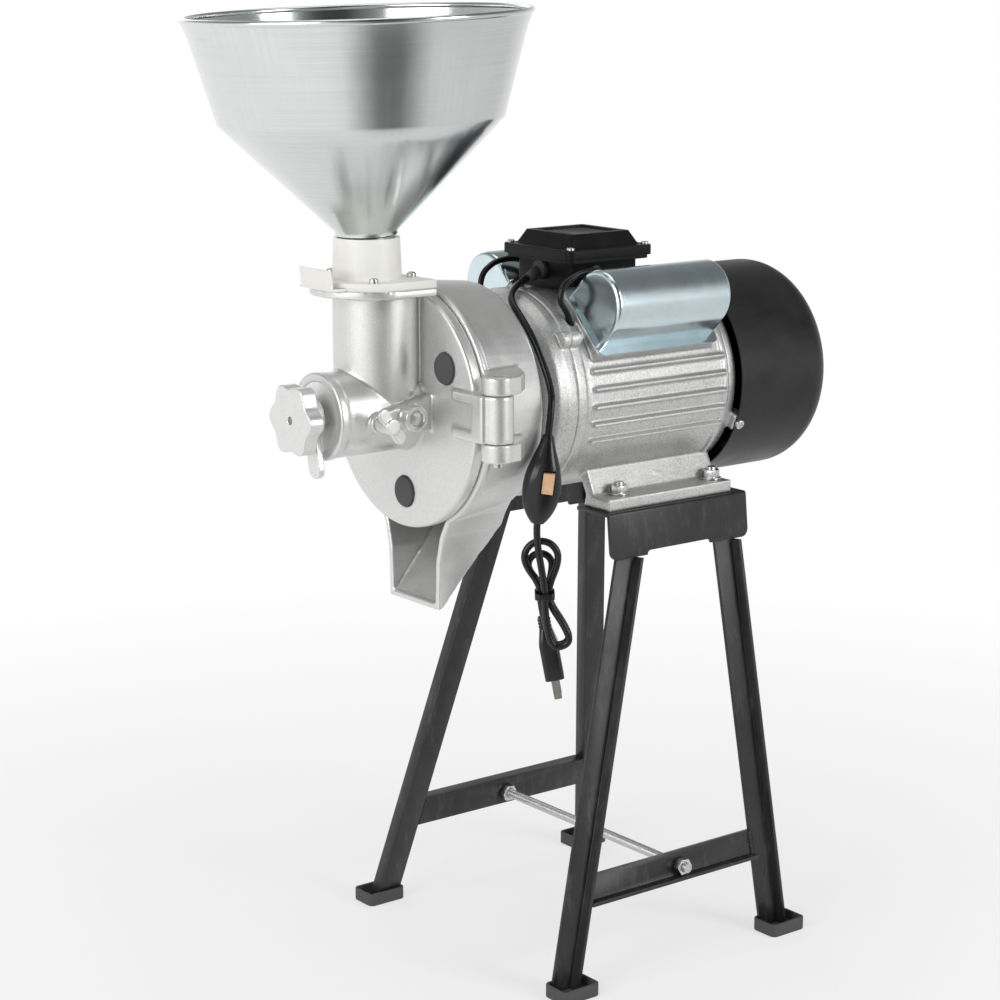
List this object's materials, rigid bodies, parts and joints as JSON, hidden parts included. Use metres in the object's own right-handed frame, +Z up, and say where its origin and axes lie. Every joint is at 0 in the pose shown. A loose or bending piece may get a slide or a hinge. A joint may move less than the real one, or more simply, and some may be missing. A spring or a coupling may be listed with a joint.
{
  "type": "commercial food grinder",
  "caption": "Motor-driven disc mill for grain and wet pulp, with a steel funnel, feed gate, hinged cover, chute and an angle-iron stand.",
  "frame": {"origin": "on the floor, midway between the ends, sides and under the motor shaft's plane of symmetry", "axes": "+X from the mill to the motor fan, along the shaft; +Y away from the cover's hinge; +Z up"},
  "size_m": [0.5564, 0.2912, 0.7713],
  "materials": {
    "cast_silver": "silver enamel over a sand casting",
    "stainless": "spun and brushed",
    "zinc_blue": "bright blue zinc plate",
    "zinc_bright": "bright zinc plate",
    "cast_silver_small": "satin silver",
    "black_paint": "black semi-gloss paint",
    "black_gloss": "black gloss paint",
    "black_plastic": "fine grained",
    "black_cord": "smooth, slightly shiny",
    "black_rubber": "matt",
    "white_plastic": "moulded",
    "tan_plastic": "moulded",
    "brass": "drawn",
    "iron_disc": "as cast, ground faces",
    "bearing_steel": "ground",
    "core_steel": "laminated",
    "copper": "varnished copper wire",
    "can_plastic": "smooth can"
  },
  "bodies": {
    "stand_and_motor": {"bearing_outer_rings": "bearing_steel", "box_grommets": "black_rubber", "capacitor_cover_far": "zinc_blue", "capacitor_cover_near": "zinc_blue", "capacitor_leads": "black_cord", "capacitors": "can_plastic", "cord_tie": "black_cord", "fan_cover": "black_gloss", "front_end_bell": "cast_silver", "grinding_housing": "cast_silver", "hinge_pin": "zinc_bright", "housing_screws": "zinc_bright", "motor_bolts": "zinc_bright", "motor_frame": "cast_silver", "motor_screws": "zinc_bright", "plug_blades": "brass", "plug_body": "black_cord", "power_cord_hank": "black_cord", "power_cord_upper": "black_cord", "rear_end_bell": "cast_silver", "rubber_feet": "black_rubber", "shaft_seal": "black_rubber", "stand_brace_far": "black_paint", "stand_brace_near": "black_paint", "stand_leg_far_front": "black_paint", "stand_leg_far_rear": "black_paint", "stand_leg_near_front": "black_paint", "stand_leg_near_rear": "black_paint", "stand_plate_far": "black_paint", "stand_plate_near": "black_paint", "stator_core": "core_steel", "stator_windings": "copper", "switch_body": "black_plastic", "terminal_block": "black_plastic", "terminal_box": "black_plastic", "terminal_box_lid": "black_plastic", "tie_rod": "zinc_bright", "tie_rod_nuts": "zinc_bright"},
    "rotor": {"motor_shaft": "bearing_steel", "rotor_core": "core_steel", "cooling_fan": "black_plastic", "disc_carrier": "iron_disc", "rotating_disc": "iron_disc", "bearing_inner_rings": "bearing_steel", "bearing_balls": "bearing_steel"},
    "front_cover": {"front_cover": "cast_silver", "fixed_disc": "iron_disc", "fixed_disc_screws": "zinc_bright", "disc_plugs": "black_rubber", "hopper_seat": "white_plastic", "seat_screws": "zinc_bright"},
    "feed_auger": {"feed_auger": "iron_disc"},
    "hopper": {"hopper": "stainless"},
    "feed_gate": {"feed_gate": "white_plastic"},
    "thrust_sleeve": {"thrust_sleeve": "cast_silver_small"},
    "adjusting_knob": {"adjusting_knob": "cast_silver_small"},
    "lock_ring": {"lock_ring": "cast_silver_small"},
    "wing_screw": {"wing_screw": "cast_silver_small"},
    "clamp_screw": {"clamp_screw": "cast_silver_small"},
    "switch_rocker": {"switch_rocker": "tan_plastic"}
  },
  "joints": [
    {"name": "rotor_spin", "type": "hinge", "parent": "stand_and_motor", "child": "rotor", "pos_m": [0.10524, 0, 0.464], "axis": [1, 0, 0], "continuous": true},
    {"name": "cover_swing", "type": "hinge", "parent": "stand_and_motor", "child": "front_cover", "pos_m": [-0.09876, -0.111, 0.464], "axis": [0, 0, 1], "range_deg": [0, 120]},
    {"name": "auger_turn", "type": "hinge", "parent": "front_cover", "child": "feed_auger", "pos_m": [-0.13476, 0, 0.464], "axis": [1, 0, 0], "continuous": true},
    {"name": "hopper_lift", "type": "slide", "parent": "front_cover", "child": "hopper", "axis": [-0.0384, 0, 0.9993], "range_m": [0, 0.06]},
    {"name": "gate_slide", "type": "slide", "parent": "front_cover", "child": "feed_gate", "axis": [-1, 0, 0], "range_m": [0, 0.045]},
    {"name": "sleeve_advance", "type": "slide", "parent": "front_cover", "child": "thrust_sleeve", "axis": [1, 0, 0], "range_m": [-0.00075, 0.00075]},
    {"name": "knob_turn", "type": "hinge", "parent": "thrust_sleeve", "child": "adjusting_knob", "pos_m": [-0.19476, 0, 0.464], "axis": [1, 0, 0], "range_deg": [-180, 180]},
    {"name": "lock_ring_turn", "type": "hinge", "parent": "thrust_sleeve", "child": "lock_ring", "pos_m": [-0.19276, 0, 0.464], "axis": [1, 0, 0], "range_deg": [-40, 40]},
    {"name": "wing_screw_turn", "type": "hinge", "parent": "front_cover", "child": "wing_screw", "pos_m": [-0.15476, -0.045, 0.4605], "axis": [0, 1, 0], "range_deg": [-180, 180]},
    {"name": "clamp_screw_turn", "type": "hinge", "parent": "front_cover", "child": "clamp_screw", "pos_m": [-0.10976, 0.109, 0.454], "axis": [1, 0, 0], "range_deg": [-180, 180]},
    {"name": "rocker_tilt", "type": "hinge", "parent": "stand_and_motor", "child": "switch_rocker", "pos_m": [-0.0437, -0.10243, 0.41176], "axis": [0.7853, -0.6076, -0.1184], "range_deg": [-12, 0]}
  ],
  "couplings": [
    {"joint": "auger_turn", "follows": "rotor_spin", "ratio": 1},
    {"joint": "sleeve_advance", "follows": "knob_turn", "m_per_rad": 0.000238}
  ]
}
